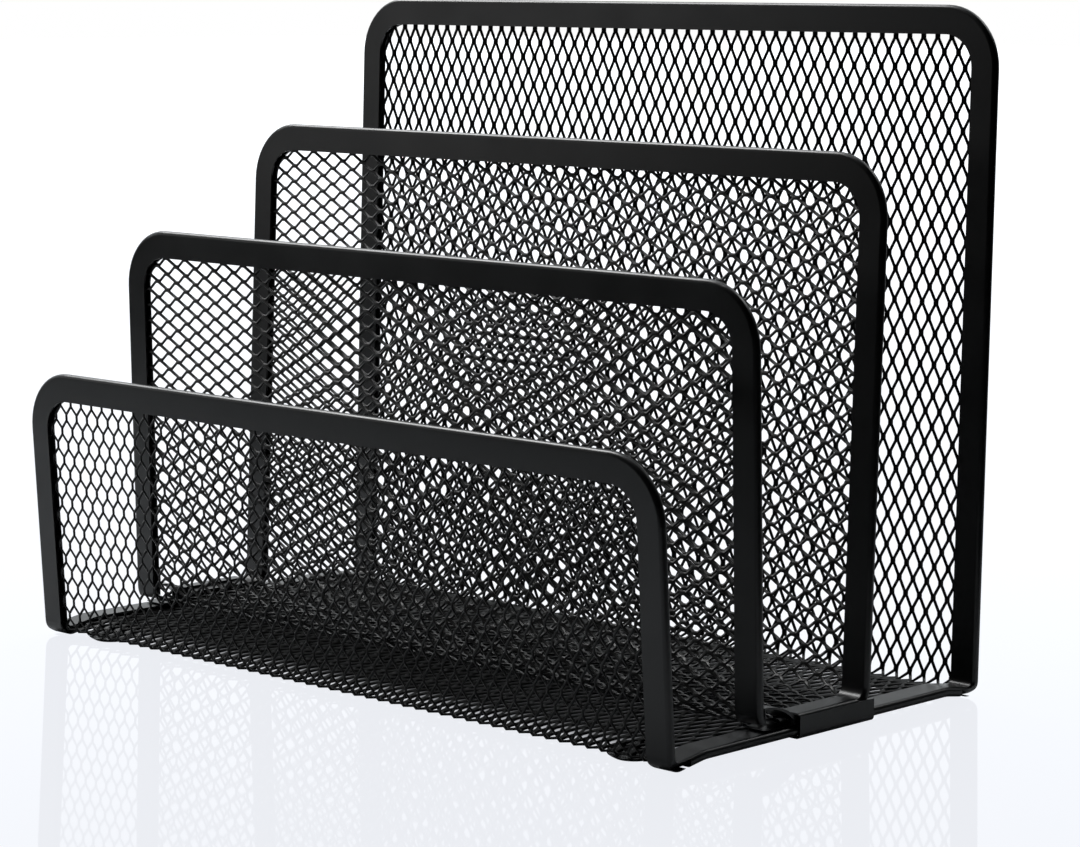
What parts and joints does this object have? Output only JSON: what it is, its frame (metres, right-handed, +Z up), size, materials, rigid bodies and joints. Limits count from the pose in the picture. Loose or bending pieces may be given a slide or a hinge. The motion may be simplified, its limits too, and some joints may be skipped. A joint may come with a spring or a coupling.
{
  "type": "desktop file sorter",
  "caption": "Stepped desktop file sorter of black expanded-metal mesh, with rounded upright panels, folded steel rims, and rubber feet.",
  "frame": {"origin": "middle of the bounding box seen from above, at the height of the surface that the feet stand on", "axes": "+X along the width of the panels, +Y from the lowest, front panel to the tallest, rear panel, +Z up"},
  "size_m": [0.1758, 0.095, 0.1312],
  "materials": {
    "mesh_steel": "black powder coat on expanded steel mesh, satin",
    "rim_steel": "smooth black powder coat on folded steel strip, satin",
    "clip_steel": "smooth black powder coat on pressed steel, satin",
    "foot_rubber": "smooth black moulded rubber"
  },
  "bodies": {
    "root": {"outer_mesh": "mesh_steel", "inner_mesh": "mesh_steel", "outer_rim": "rim_steel", "inner_rim": "rim_steel", "rail_clip_left": "clip_steel", "rail_clip_right": "clip_steel", "foot_front_left": "foot_rubber", "foot_front_right": "foot_rubber", "foot_rear_left": "foot_rubber", "foot_rear_right": "foot_rubber"}
  },
  "joints": []
}
